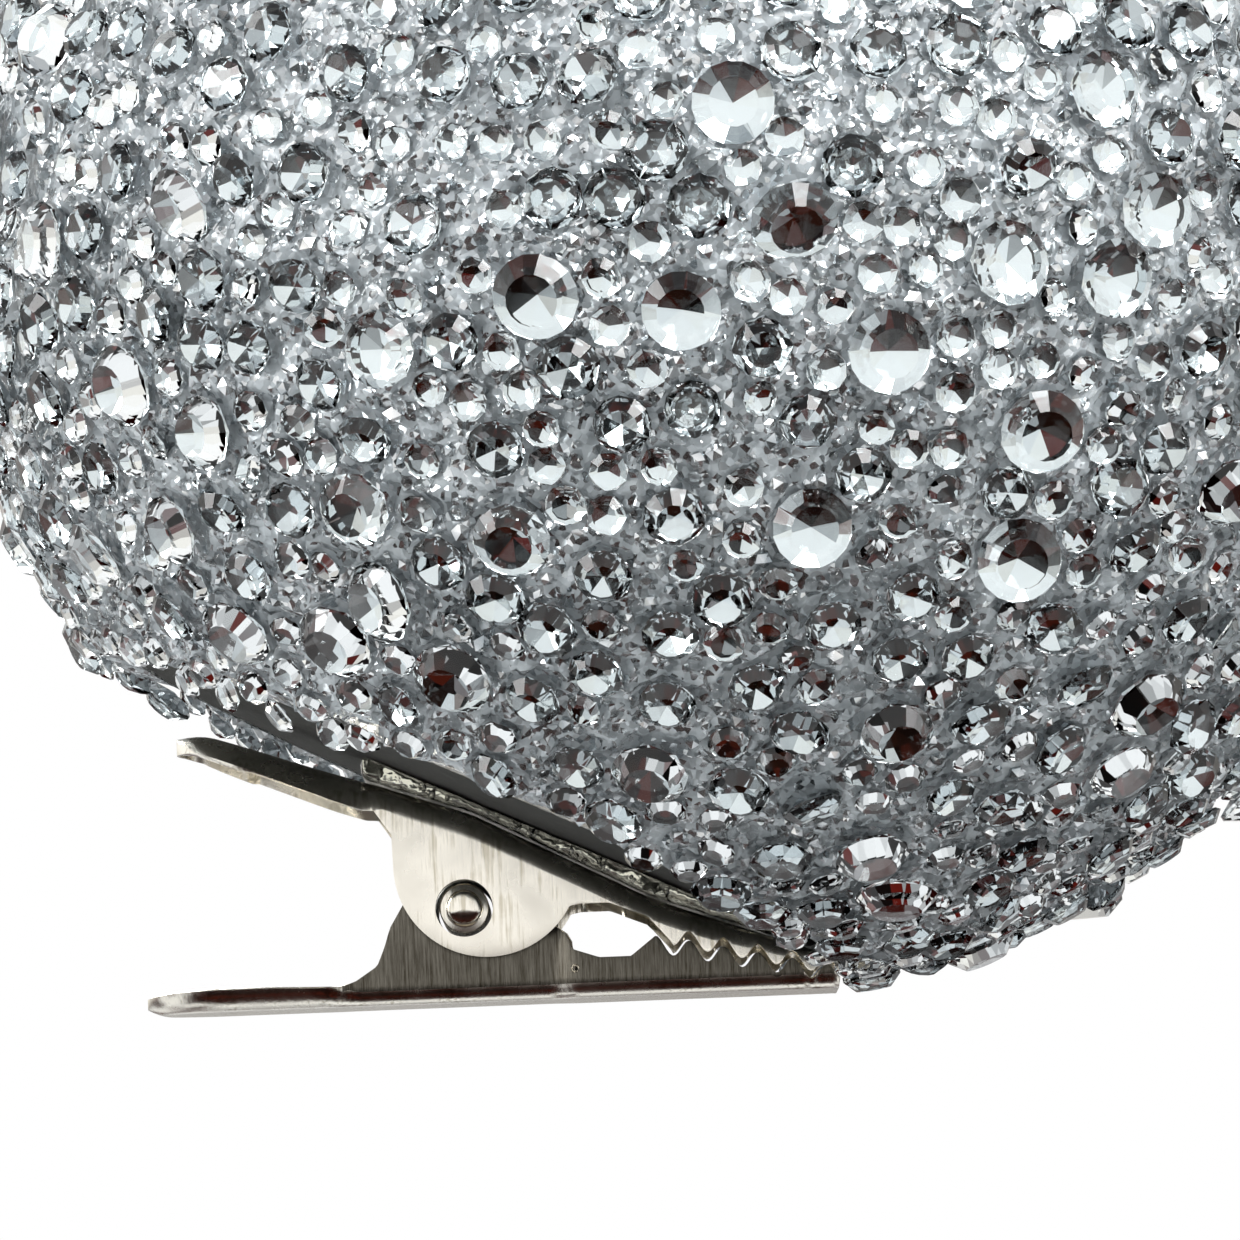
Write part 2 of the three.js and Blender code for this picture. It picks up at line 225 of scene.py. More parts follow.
def hot_glue():
    """Clear hot-melt glue: slightly yellow, soft-edged and a little cloudy."""
    material, tree, place = new_material("hot_melt_glue")
    cloud = add(tree, "ShaderNodeTexNoise", {"Vector": place, "Scale": per_metre(1.1), "Detail": 3.0})
    bump = add(tree, "ShaderNodeBump",
               {"Height": cloud.outputs["Fac"], "Strength": 0.5, "Distance": 0.3 * MM})
    shader = add(tree, "ShaderNodeBsdfPrincipled",
                 {"Base Color": srgb("#e4e3d2"), "Roughness": 0.12, "IOR": 1.49,
                  "Transmission Weight": 1.0, "Normal": bump.outputs[0]})
    return finish_material(material, tree, shader.outputs[0])


def trapped_air():
    """Air bubbles in the glue: bright rings, because light turns back at their walls."""
    material, tree, _ = new_material("trapped_air")
    shader = add(tree, "ShaderNodeBsdfPrincipled",
                 {"Base Color": srgb("#ffffff"), "Roughness": 0.0, "IOR": 0.67,
                  "Transmission Weight": 1.0})
    return finish_material(material, tree, shader.outputs[0])


def wool_felt_painted_shade():
    """Pressed felt kept near black, partly its own dark grey and partly painted shade of the gap under
    the ball: matted fibres with a soft fuzzy edge light.
    """
    material, tree, place = new_material("pressed_felt_painted_shade")
    matted = add(tree, "ShaderNodeTexNoise",
                 {"Vector": place, "Scale": per_metre(0.7), "Detail": 8.0, "Roughness": 0.75,
                  "Distortion": 1.5})
    # painted shade: the felt's near-black tint also stands for the shadow between the ball's base and
    # the lever
    tint = ramp(tree, matted.outputs["Fac"], [(0.36, "#090a09"), (0.64, "#2e302b")])
    bump = add(tree, "ShaderNodeBump",
               {"Height": matted.outputs["Fac"], "Strength": 0.8, "Distance": 0.15 * MM})
    shader = add(tree, "ShaderNodeBsdfPrincipled",
                 {"Base Color": tint, "Roughness": 0.95, "Sheen Weight": 0.04,
                  "Sheen Roughness": 0.5, "Normal": bump.outputs[0]})
    return finish_material(material, tree, shader.outputs[0])


def bead_foam():
    """White polystyrene foam: pressed beads about 3 mm across with dark joints."""
    material, tree, place = new_material("polystyrene_foam")
    cells = add(tree, "ShaderNodeTexVoronoi", {"Vector": place, "Scale": per_metre(3.0)},
                feature="DISTANCE_TO_EDGE")
    tint = ramp(tree, cells.outputs["Distance"], [(0.0, "#c9c9c6"), (0.08, "#f3f3f0")])
    bump = add(tree, "ShaderNodeBump",
               {"Height": cells.outputs["Distance"], "Strength": 0.5, "Distance": 0.3 * MM})
    shader = add(tree, "ShaderNodeBsdfPrincipled",
                 {"Base Color": tint, "Roughness": 0.8, "Normal": bump.outputs[0]})
    return finish_material(material, tree, shader.outputs[0])


def glitter_resin():
    """Blue-grey resin full of silver glitter: flakes 0.35 and 0.8 mm wide, each at its own angle."""
    material, tree, place = new_material("glitter_resin")
    flakes = add(tree, "ShaderNodeTexVoronoi", {"Vector": place, "Scale": per_metre(0.35)})
    chunks = add(tree, "ShaderNodeTexVoronoi", {"Vector": place, "Scale": per_metre(0.8)})
    clouds = add(tree, "ShaderNodeTexNoise", {"Vector": place, "Scale": per_metre(1.4), "Detail": 4.0})
    chosen = add(tree, "ShaderNodeSeparateColor", {"Color": flakes.outputs["Color"]})
    body = ramp(tree, clouds.outputs["Fac"], [(0.30, "#767d81"), (0.5, "#a0a7ab"), (0.72, "#cbd1d4")])
    bright = ramp(tree, chosen.outputs["Red"],
                  [(0.0, "#7c8387"), (0.55, "#a7aeb2"), (0.75, "#eef3f5"), (1.0, "#ffffff")])
    tint = add(tree, "ShaderNodeMix", data_type="RGBA")
    tree.links.new(body, tint.inputs[6])
    tree.links.new(bright, tint.inputs[7])
    tint.inputs[0].default_value = 0.55
    normal = add(tree, "ShaderNodeNewGeometry").outputs["Normal"]
    for cells, lean in ((flakes, 0.9), (chunks, 0.6)):
        centred = add(tree, "ShaderNodeVectorMath",
                      {0: cells.outputs["Color"], 1: (0.5, 0.5, 0.5)}, operation="SUBTRACT")
        leaned = add(tree, "ShaderNodeVectorMath", {0: centred.outputs[0], "Scale": lean},
                     operation="SCALE")
        normal = add(tree, "ShaderNodeVectorMath", {0: normal, 1: leaned.outputs[0]},
                     operation="ADD").outputs[0]
    facing = add(tree, "ShaderNodeVectorMath", {0: normal}, operation="NORMALIZE")
    metal = add(tree, "ShaderNodeMapRange",
                {"Value": chosen.outputs["Red"], "From Min": 0.45, "From Max": 0.7,
                 "To Min": 0.2, "To Max": 0.95})
    shader = add(tree, "ShaderNodeBsdfPrincipled",
                 {"Base Color": tint.outputs[2], "Metallic": metal.outputs[0],
                  "Roughness": 0.2, "Coat Weight": 0.5, "Coat Roughness": 0.06,
                  "Normal": facing.outputs[0]})
    return finish_material(material, tree, shader.outputs[0])


def cast_acrylic():
    """Clear cast acrylic of the stones' faceted crowns, with the faint blue of bottle-clear resin."""
    material, tree, _ = new_material("cast_acrylic")
    shader = add(tree, "ShaderNodeBsdfPrincipled",
                 {"Base Color": srgb("#fafdfd"), "Roughness": 0.0, "IOR": 1.49,
                  "Transmission Weight": 1.0})
    return finish_material(material, tree, shader.outputs[0])


def mirror_foil():
    """Vacuum-laid silver foil on the stones' backs: a near-perfect cold mirror."""
    material, tree, _ = new_material("mirror_foil")
    shader = add(tree, "ShaderNodeBsdfPrincipled",
                 {"Base Color": srgb("#eef2f4"), "Metallic": 1.0, "Roughness": 0.03})
    return finish_material(material, tree, shader.outputs[0])


def silvered_bead():
    """Silver-lined glass micro-beads: tiny round mirrors, a shade greyer than the stones."""
    material, tree, place = new_material("silver_lined_bead")
    tone = add(tree, "ShaderNodeTexVoronoi", {"Vector": place, "Scale": per_metre(1.2)})
    tint = ramp(tree, tone.outputs["Distance"], [(0.0, "#ffffff"), (0.8, "#9aa3a8")])
    shader = add(tree, "ShaderNodeBsdfPrincipled",
                 {"Base Color": tint, "Metallic": 0.9, "Roughness": 0.10, "Coat Weight": 1.0,
                  "Coat Roughness": 0.02})
    return finish_material(material, tree, shader.outputs[0])


NICKEL = nickel_plate()
BRUSHED_PAINTED_SHADE = brushed_nickel_painted_shade()
EDGE_PAINTED_HIGHLIGHT = cut_edge_painted_highlight()
SPRING = spring_steel()
GLUE = hot_glue()
AIR = trapped_air()
FELT_PAINTED_SHADE = wool_felt_painted_shade()
FOAM = bead_foam()
RESIN = glitter_resin()
ACRYLIC = cast_acrylic()
FOIL = mirror_foil()
BEAD = silvered_bead()


# ---- mesh helpers --------------------------------------------------------------------------
def to_mesh(bm, name):
    mesh = bpy.data.meshes.new(name)
    bm.to_mesh(mesh)
    bm.free()
    return mesh


def piece(name, mesh, materials, body="root", replaced=(), modifiers=()):
    """A finished object from a mesh in millimetres, with its modifiers applied, riding a body."""
    mesh.transform(Matrix.Scale(MM, 4))
    for material in materials:
        mesh.materials.append(material)
    made = bpy.data.objects.new(name, mesh)
    bpy.context.scene.collection.objects.link(made)
    for kind, settings in modifiers:
        modifier = made.modifiers.new(kind.title(), kind)
        for key, value in settings.items():
            setattr(modifier, key, value)
    if modifiers:
        bpy.context.view_layer.update()
        depsgraph = bpy.context.evaluated_depsgraph_get()
        final = bpy.data.meshes.new_from_object(made.evaluated_get(depsgraph), depsgraph=depsgraph)
        made.modifiers.clear()
        made.data = final
        bpy.data.meshes.remove(mesh)
        final.name = name
    if body:
        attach(made, body)
    if replaced:
        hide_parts(*replaced)
    return made


def smooth_by_angle(mesh, degrees_limit):
    """Shades a mesh smooth, with edges sharper than the limit left crisp."""
    bm = bmesh.new()
    bm.from_mesh(mesh)
    limit = math.radians(degrees_limit)
    for face in bm.faces:
        face.smooth = True
    for edge in bm.edges:
        edge.smooth = len(edge.link_faces) == 2 and edge.calc_face_angle(0) < limit
    bm.to_mesh(mesh)
    bm.free()


def lathe(profile, segments):
    """A closed profile of (radius, height) points spun about Z."""
    bm = bmesh.new()
    points = [bm.verts.new((radius, 0, height)) for radius, height in profile]
    edges = [bm.edges.new(pair) for pair in zip(points, points[1:])]
    bmesh.ops.spin(bm, geom=points + edges, axis=(0, 0, 1), cent=(0, 0, 0),
                   angle=2 * math.pi, steps=segments, use_merge=True)
    bmesh.ops.remove_doubles(bm, verts=bm.verts, dist=1e-4)
    bmesh.ops.recalc_face_normals(bm, faces=bm.faces)
    return bm


def interpolate(points, x):
    """Height at x of a line through points that are sorted by x."""
    return float(np.interp(x, [p[0] for p in points], [p[1] for p in points]))


def eased(points, x, reach=0.8):
    """The same line with its corners rounded over a reach to each side."""
    offsets = (-1, -0.5, 0, 0.5, 1)
    return sum(interpolate(points, x + reach * o) for o in offsets) / len(offsets)


# ---- the two levers ------------------------------------------------------------------------
KNEE = (0.5, PIVOT_Z + 4.8)
NECK = (JAW_X - 9.2, PIVOT_Z + 0.15)
UPPER_TIP = (JAW_X, 1.5)
UPPER_END = (UPPER_END_X, PIVOT_Z + 9.25)
UPPER_BACK = [UPPER_END, (UPPER_END_X + 1, PIVOT_Z + 9.6), KNEE, NECK, UPPER_TIP]
BACK_EASE = 0.9            # how far the back's corners are rounded to each side
UPPER_BEND = [(-7.5, 3.0), (-4, 1.2), (12, 1.2), (JAW_X, 0.6)]   # x and outer radius of the fold:
LOWER_BEND = [(-7.5, 1.6), (-5.5, 0.95)]                         # widest on the spoon-shaped handles
HANDLE_START = -6.5        # the lower lever's handle lies beyond this x
CHEEK_RADIUS = 3.1         # of the lower lever's cheek round the pin
EAR_CENTRE = (1.2, PIVOT_Z + 2.2)
EAR_RADIUS = 4.7
HOLE_RADIUS = 1.45
DIMPLE_RADIUS = 0.24


def tooth_wave(x, start, end, depth):
    """Height of a tooth line: a straight line with a rounded wave whose peaks point up."""
    line = interpolate([start, end], x)
    return line + depth / 2 * math.cos(2 * math.pi * (JAW_X - 0.55 - x) / TOOTH_PITCH)


def upper_edge(x):
    """Lower edge of the upper lever's flanges."""
    if x >= NECK[0] + 0.9:
        return tooth_wave(x, (NECK[0] + 0.9, NECK[1] - 2.0), (JAW_X, UPPER_TIP[1] - 0.5), 0.88)
    if x >= EAR_CENTRE[0] + EAR_RADIUS * math.cos(math.radians(29)):
        return interpolate([(5.3, NECK[1] - 0.25), (NECK[0] - 3.7, NECK[1] - 0.15),
                            (NECK[0] - 2.2, NECK[1] - 0.15), (NECK[0] - 0.3, NECK[1] - 0.9),
                            (NECK[0] + 0.9, NECK[1] - 2.3)], x)
    if x >= EAR_CENTRE[0] - EAR_RADIUS:
        return EAR_CENTRE[1] - math.sqrt(max(EAR_RADIUS ** 2 - (x - EAR_CENTRE[0]) ** 2, 0))
    rim = [(UPPER_END_X, UPPER_END[1] - 0.75), (UPPER_END_X + 1.1, PIVOT_Z + 8.45),
           (-10, KNEE[1] + 2.35), (-6.5, KNEE[1] + 0.9), (-5.0, KNEE[1] + 0.35),
           (-4.4, KNEE[1] + 0.3), (EAR_CENTRE[0] - EAR_RADIUS - 0.02, KNEE[1] - 1.0)]
    return interpolate(rim, x)


def lower_edge(x):
    """Upper edge of the lower lever's flanges."""
    if x >= JAW_X - 9.1:
        return tooth_wave(x, (JAW_X - 9.1, 2.52), (JAW_X, 0.64), 0.9)
    if -CHEEK_RADIUS * 0.995 <= x <= CHEEK_RADIUS:
        return PIVOT_Z + math.sqrt(max(CHEEK_RADIUS ** 2 - x ** 2, 0))
    return interpolate([(-HANDLE_X, 0.85), (-HANDLE_X + 1.6, 1.02), (-10, 1.05), (-7.6, 0.96),
                        (-6.4, 0.96), (-5.6, 1.25), (-4.5, 1.97), (-4.1, 2.9), (-3.8, PIVOT_Z - 0.85),
                        (-CHEEK_RADIUS, PIVOT_Z + 0.3), (CHEEK_RADIUS, PIVOT_Z), (5.1, 3.2),
                        (5.3, 2.45), (JAW_X - 12, 1.97), (JAW_X - 10.4, 1.97), (JAW_X - 9.1, 2.97)], x)


def round_end(x, end_x):
    """Half width of a strip whose end is a half circle."""
    run = x - end_x
    return HALF_WIDTH if run >= HALF_WIDTH else math.sqrt(max(run * (2 * HALF_WIDTH - run), 1e-6))


def upper_half_width(x):
    return round_end(x, UPPER_END_X)


def lower_half_width(x):
    """The strip is narrower where it runs between the upper lever's ears."""
    waist = HALF_WIDTH - STEEL - CLEARANCE
    draw = interpolate([(-7.2, 0), (-5.2, 1), (4.1, 1), (5.7, 0)], x)
    narrowing = (HALF_WIDTH - waist) * draw * draw * (3 - 2 * draw)
    return round_end(x, -HANDLE_X) - narrowing


def stations(start, end, centres):
    """Where the strip is sliced: even steps, closer at the round end and at the sides of arcs."""
    even = set(np.round(np.arange(start + HALF_WIDTH, end, 0.14), 4))
    tip = {round(start + HALF_WIDTH * (1 - math.cos(t)), 4) for t in np.linspace(0, math.pi / 2, 22)}
    sides = {round(c + r * math.cos(t), 4) for c, r in centres for t in np.linspace(0, math.pi, 60)}
    return sorted(s for s in even | tip | sides | {start, end} if start <= s <= end)


def folded_strip(name, cuts, half_width, web, edge, bend, rises, replaced, body):
    """A stamped channel: a web with a fold along each side and a flange down to its cut edge."""
    web_steps, fold_steps, flange_steps = 6, 6, 7
    across = web_steps + fold_steps + flange_steps
    bm = bmesh.new()
    bmesh.ops.create_grid(bm, x_segments=len(cuts) - 1, y_segments=2 * across, size=1)
    bm.verts.ensure_lookup_table()
    direction = 1 if rises else -1
    for vertex in bm.verts:
        x = cuts[round((vertex.co.x + 1) / 2 * (len(cuts) - 1))]
        step = round(vertex.co.y * across)
        side = -1 if step < 0 else 1
        step = abs(step)
        half, top, rim = half_width(x), web(x), edge(x)
        radius = min(interpolate(bend, x), half)
        folded = math.acos(1 - min(abs(rim - top) / radius, 1))
        fold_end = top + direction * radius * (1 - math.cos(folded))
        web_half = half - radius * math.sin(folded)
        if step <= web_steps:
            y, z = web_half * step / web_steps, top
        elif step <= web_steps + fold_steps:
            turn = folded * (step - web_steps) / fold_steps
            y = web_half + radius * math.sin(turn)
            z = top + direction * radius * (1 - math.cos(turn))
        else:
            y = half
            down = (step - web_steps - fold_steps) / flange_steps
            z = fold_end + (rim - fold_end) * down ** 1.9
        z = min(z, rim) if rises else max(z, rim)
        vertex.co = (x, side * y, z)
    bmesh.ops.remove_doubles(bm, verts=bm.verts, dist=0.004)
    bmesh.ops.recalc_face_normals(bm, faces=bm.faces)
    middle = min(bm.faces, key=lambda f: (f.calc_center_median() - Vector((-2, 0, web(-2)))).length)
    if middle.normal.z * direction > 0:
        bmesh.ops.reverse_faces(bm, faces=bm.faces)
    cutter = pivot_bore()
    made = piece(name, to_mesh(bm, name), (NICKEL, BRUSHED_PAINTED_SHADE, EDGE_PAINTED_HIGHLIGHT), None, (), [
        ("SOLIDIFY", {"thickness": STEEL * MM, "offset": -1, "use_even_offset": True,
                      "thickness_clamp": 1.0}),
        ("BEVEL", {"width": EDGE_ROUND * MM, "segments": 3, "limit_method": "ANGLE",
                   "angle_limit": math.radians(50), "use_clamp_overlap": True,
                   "material": 2 if rises else -1}),
        ("BOOLEAN", {"object": cutter, "operation": "DIFFERENCE", "solver": "EXACT"}),
    ])
    bpy.data.objects.remove(cutter)
    smooth_by_angle(made.data, 40)
    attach(made, body)
    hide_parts(*replaced)
    return made


def pivot_bore():
    """Cuts the pivot holes, and a small dimple in each lower cheek where the strip widens."""
    bm = bmesh.new()
    bmesh.ops.create_cone(bm, cap_ends=True, segments=48, radius1=HOLE_RADIUS, radius2=HOLE_RADIUS,
                          depth=4 * HALF_WIDTH, matrix=Matrix.Rotation(math.pi / 2, 4, "X"))
    bmesh.ops.rotate(bm, matrix=Matrix.Rotation(0.03, 3, "Y"), verts=bm.verts)
    bmesh.ops.translate(bm, vec=(0, 0, PIVOT_Z), verts=bm.verts)
    for side in (-1, 1):
        dimple = Matrix.Translation((5.45, side * (HALF_WIDTH + 0.02), 1.45))
        bmesh.ops.create_icosphere(bm, subdivisions=2, radius=DIMPLE_RADIUS, matrix=dimple)
    mesh = to_mesh(bm, "pivot_bore")
    mesh.transform(Matrix.Scale(MM, 4))
    cutter = bpy.data.objects.new("pivot_bore", mesh)
    bpy.context.scene.collection.objects.link(cutter)
    return cutter


def brush_and_shade_cheeks(made):
    """Gives a lever's upright cheeks the brushed finish, whose dark base colour is painted shade, and
    leaves its folds and handle polished.
    """
    for polygon in made.data.polygons:
        upright = abs(polygon.normal.y) > 0.8 and abs(polygon.normal.z) < 0.25
        is_cheek = upright and polygon.center.x > HANDLE_START * MM
        if is_cheek and polygon.material_index == 0:
            polygon.material_index = 1


upper_cuts = stations(UPPER_END_X, JAW_X, [(EAR_CENTRE[0], EAR_RADIUS)])
folded_strip("stamped_upper_lever", upper_cuts, upper_half_width,
             lambda x: eased(UPPER_BACK, x, BACK_EASE), upper_edge, UPPER_BEND, False,
             ["upper_lever"], "root")
lower_cuts = stations(-HANDLE_X, JAW_X, [(0, CHEEK_RADIUS)])
lower = folded_strip("stamped_lower_lever", lower_cuts, lower_half_width,
                     lambda x: 0.35 * max(0, 1 - (x + HANDLE_X) / 1.2) ** 2, lower_edge,
                     LOWER_BEND, True, ["lower_lever"], "lower_jaw")
brush_and_shade_cheeks(lower)


# ---- pivot pin and spring ------------------------------------------------------------------
def pivot_pin():
    """A shouldered pin: each end has a sunk ring and a boss that is struck flat on its lower side."""
    half = HALF_WIDTH
    end = [(PIN_RADIUS, half - 0.55), (PIN_RADIUS, half - 0.34), (1.17, half - 0.28),
           (0.98, half - 0.30), (0.90, half - 0.24), (0.90, half - 0.02), (0.80, half + 0.09),
           (0.68, half + 0.12), (0.5, half + 0.135), (0.25, half + 0.145), (0, half + 0.15)]
    profile = [(r, -y) for r, y in reversed(end)] + end
    bm = lathe(profile, 40)
    bmesh.ops.rotate(bm, matrix=Matrix.Rotation(math.pi / 2, 3, "X"), verts=bm.verts)
    for vertex in bm.verts:
        struck = -0.25 - vertex.co.z
        if struck > 0 and abs(vertex.co.y) > half - 0.05:
            vertex.co.y -= math.copysign(0.5 * struck, vertex.co.y)
    bmesh.ops.translate(bm, vec=(0, 0, PIVOT_Z), verts=bm.verts)
    made = piece("riveted_pin", to_mesh(bm, "riveted_pin"), (NICKEL,), "root",
                 ["pivot_pin"])
    smooth_by_angle(made.data, 45)


def spring_line():
    """Points of the wire: upper leg, the turns round the pin, lower leg."""
    radius = PIN_RADIUS + CLEARANCE + WIRE / 2
    clear = STEEL + CLEARANCE + WIRE / 2
    slope = (KNEE[1] - UPPER_END[1] - 0.35) / (KNEE[0] - UPPER_END_X - 1)
    ends = {"upper": (-3.0, KNEE[1] + slope * (-3.0 - KNEE[0]) - (clear + WIRE) * math.hypot(1, slope)
                      - PIVOT_Z, -1),
            "lower": (-5.2, clear - PIVOT_Z, 1)}
    leave = {key: math.atan2(z, x) + side * math.acos(radius / math.hypot(x, z))
             for key, (x, z, side) in ends.items()}
    sweep = leave["upper"] - leave["lower"] + 2 * math.pi * 4
    half = sweep / (2 * math.pi) * 0.85 / 2
    points = [Vector((ends["upper"][0], half, ends["upper"][1]))]
    steps = 132
    for i in range(steps + 1):
        angle = leave["upper"] - sweep * i / steps
        points.append(Vector((radius * math.cos(angle), half * (1 - 2 * i / steps),
                              radius * math.sin(angle))))
    points.append(Vector((ends["lower"][0], -half, ends["lower"][1])))
    return [p + Vector((0, 0, PIVOT_Z)) for p in points], half


def torsion_spring():
    """The coiled spring: one leg lies along the upper lever and the other along the lower one."""
    points, half = spring_line()
    curve = bpy.data.curves.new("spring_wire", "CURVE")
    curve.dimensions = "3D"
    curve.bevel_depth = WIRE / 2 * MM
    curve.bevel_resolution = 3
    curve.use_fill_caps = True
    spline = curve.splines.new("POLY")
    spline.points.add(len(points) - 1)
    for target, source in zip(spline.points, points):
        target.co = (*(source * MM), 1)
    drawn = bpy.data.objects.new("spring_wire", curve)
    bpy.context.scene.collection.objects.link(drawn)
    bpy.context.view_layer.update()
    depsgraph = bpy.context.evaluated_depsgraph_get()
    mesh = bpy.data.meshes.new_from_object(drawn.evaluated_get(depsgraph), depsgraph=depsgraph)
    bpy.data.objects.remove(drawn)
    mesh.materials.clear()
    mesh.materials.append(SPRING)
    made = bpy.data.objects.new("coiled_spring", mesh)
    bpy.context.scene.collection.objects.link(made)
    smooth_by_angle(mesh, 50)
    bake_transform(made)
    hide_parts("torsion_spring")


pivot_pin()
torsion_spring()


# ---- glue ----------------------------------------------------------------------------------
def merged_copy(node):
    """A CAD node's mesh as a bmesh in millimetres, with its loose triangles joined."""
    bm = bmesh.new()
    bm.from_mesh(frame["nodes"][node].data)
    bmesh.ops.scale(bm, vec=(1 / MM, 1 / MM, 1 / MM), verts=bm.verts)
    bmesh.ops.remove_doubles(bm, verts=bm.verts, dist=1e-3)
    return bm


def glue_bead():
    """The bead of the model with its edges softened, as glue sets."""
    bm = merged_copy("glue_bead")
    made = piece("hot_melt_bead", to_mesh(bm, "hot_melt_bead"), (GLUE,), "root",
                 ["glue_bead"], [
        ("REMESH", {"mode": "VOXEL", "voxel_size": 0.22 * MM}),
        ("SMOOTH", {"factor": 0.6, "iterations": 6}),
    ])
    for vertex in made.data.vertices:
        wave = noise.noise(vertex.co / MM * 0.9)
        vertex.co.y *= 1 + 0.10 * wave
    smooth_by_angle(made.data, 60)


def glue_bubbles():
    """Small air bubbles near the bead's front and back faces, thickest under the ball's middle."""
    low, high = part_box("glue_bead")
    bm = bmesh.new()
    tilt = math.tan(BASE_TILT)
    for _ in range(46):
        x = rng.uniform(-2, 11)
        side = -1 if rng.random() < 0.6 else 1
        y = side * (high[1] / MM - rng.uniform(0.3, 1.0))
        floor = eased(UPPER_BACK, x, BACK_EASE)
        ceiling = KNEE[1] + 0.7 / math.cos(BASE_TILT) - (x - KNEE[0]) * tilt
        radius = min(rng.uniform(0.08, 0.22), (ceiling - floor) * 0.3)
        z = floor + (ceiling - floor) * rng.uniform(0.42, 0.6)
        bmesh.ops.create_icosphere(bm, subdivisions=2, radius=radius,
                                   matrix=Matrix.Translation((x, y, z)))
    made = piece("glue_bubbles", to_mesh(bm, "glue_bubbles"), (AIR,))
    smooth_by_angle(made.data, 80)


glue_bead()
glue_bubbles()


# ---- ball: where a direction meets the resin's face ----------------------------------------
def ball_face(direction):
    """Point and outward normal on the ball's face, in its own frame, for a unit direction."""
    rise = BALL_RADIUS if direction.z < 0 else CROWN_HEIGHT
    point = Vector((BALL_RADIUS * direction.x, BALL_RADIUS * direction.y, rise * direction.z))
    normal = Vector((point.x / BALL_RADIUS ** 2, point.y / BALL_RADIUS ** 2, point.z / rise ** 2))
    return point, normal.normalized()


def random_direction(lowest):
    """A direction spread evenly over the ball, no lower than its base edge."""
    z = rng.uniform(lowest, 1)
    turn = rng.uniform(0, 2 * math.pi)
    flat = math.sqrt(1 - z * z)
    return Vector((flat * math.cos(turn), flat * math.sin(turn), z))


class Packing:
    """Keeps stones from meeting: a grid of cells, each listing the stones whose centres it holds."""

    def __init__(self, cell):
        self.cell, self.held = cell, {}

    def key(self, point):
        return tuple(int(math.floor(c / self.cell)) for c in point)

    def is_free(self, point, radius, gap):
        i, j, k = self.key(point)
        near = ((a, b, c) for a in (i - 1, i, i + 1) for b in (j - 1, j, j + 1)
                for c in (k - 1, k, k + 1))
        for key in near:
            for other, size in self.held.get(key, ()):
                if (other - point).length < radius + size + gap:
                    return False
        return True

    def put(self, point, radius):
        self.held.setdefault(self.key(point), []).append((point, radius))


EDGE_SINE = -BASE_DEPTH / BALL_RADIUS
LOWEST_Z = -0.05           # nothing on the ball hangs much lower than the clip's own flat bottom
CLIP_SPAN = (-1.5, 15.5)   # x of the rim over the clip: no stone hangs there, and the border sits higher
RIM_END_X = -13            # no stone hangs on the rim beyond this x
packing = Packing(4.4)
placed = {name: [] for name in STONE_SIZES}


def try_stone(name, direction, gap):
    """Sets a stone on the face where it is free and above the clip's bottom."""
    radius = STONE_SIZES[name][0] / 2
    point, normal = ball_face(direction)
    height = (TO_WORLD @ (point * MM)).z / MM
    out = (TO_WORLD.to_3x3() @ normal).z
    if height - radius * math.sqrt(1 - out * out) + min(out, 0) * 1.3 < LOWEST_Z:
        return
    if packing.is_free(point, radius, gap):
        packing.put(point, radius)
        placed[name].append((point, normal))


def hang_stone(name, turn):
    """Sets a stone on the cut edge of the sheet, facing out and down, clear of the levers."""
    radius = STONE_SIZES[name][0] / 2
    rim = math.sqrt(BALL_RADIUS ** 2 - BASE_DEPTH ** 2) - 0.6
    point = Vector((rim * math.cos(turn), rim * math.sin(turn), -BASE_DEPTH - 0.25))
    normal = Vector((0.72 * math.cos(turn), 0.72 * math.sin(turn), -0.69)).normalized()
    where = TO_WORLD @ (point * MM) / MM
    near_jaws = where.x > 12 and abs(where.y) < HALF_WIDTH + 3
    bare = CLIP_SPAN[0] < where.x < CLIP_SPAN[1] or where.x < RIM_END_X
    too_low = where.z - radius - 0.6 < LOWEST_Z
    if near_jaws or bare or too_low or not packing.is_free(point, radius, -0.3):
        return
    packing.put(point, radius)
    placed[name].append((point, normal))


def place_stones():
    """Large stones where the model has them, a border round the base, then whatever fits."""
    nodes = sorted(n for n in frame["nodes"] if n.startswith("rhinestone_") and n[-1].isdigit())
    for node in nodes:
        low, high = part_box(node)
        direction = TO_BALL @ ((Vector(low) + Vector(high)) / 2)
        scale = CROWN_HEIGHT if direction.z > 0 else BALL_RADIUS
        direction = Vector((direction.x / BALL_RADIUS, direction.y / BALL_RADIUS, direction.z / scale))
        try_stone("large", direction.normalized(), 0)
    turn = 0
    while turn < 2 * math.pi:
        name = ("large", "medium", "medium", "small")[rng.integers(4)]
        rise = EDGE_SINE + rng.uniform(0.002, 0.016)
        edge = TO_WORLD @ (Vector((BALL_RADIUS * math.cos(turn), 0, -BASE_DEPTH)) * MM)
        if CLIP_SPAN[0] * MM < edge.x < CLIP_SPAN[1] * MM:
            rise += 0.016
        flat = math.sqrt(1 - rise * rise)
        try_stone(name, Vector((flat * math.cos(turn), flat * math.sin(turn), rise)), -0.1)
        hang_stone(("medium", "small", "small")[rng.integers(3)], turn)
        turn += 0.35 / (BALL_RADIUS * flat)
    for name, (diameter, _, count) in STONE_SIZES.items():
        for _ in range(count * STONE_TRIES):
            if len(placed[name]) >= count:
                break
            try_stone(name, random_direction(EDGE_SINE + 0.15 * diameter / BALL_RADIUS), -0.15)
    return nodes


stone_nodes = place_stones()


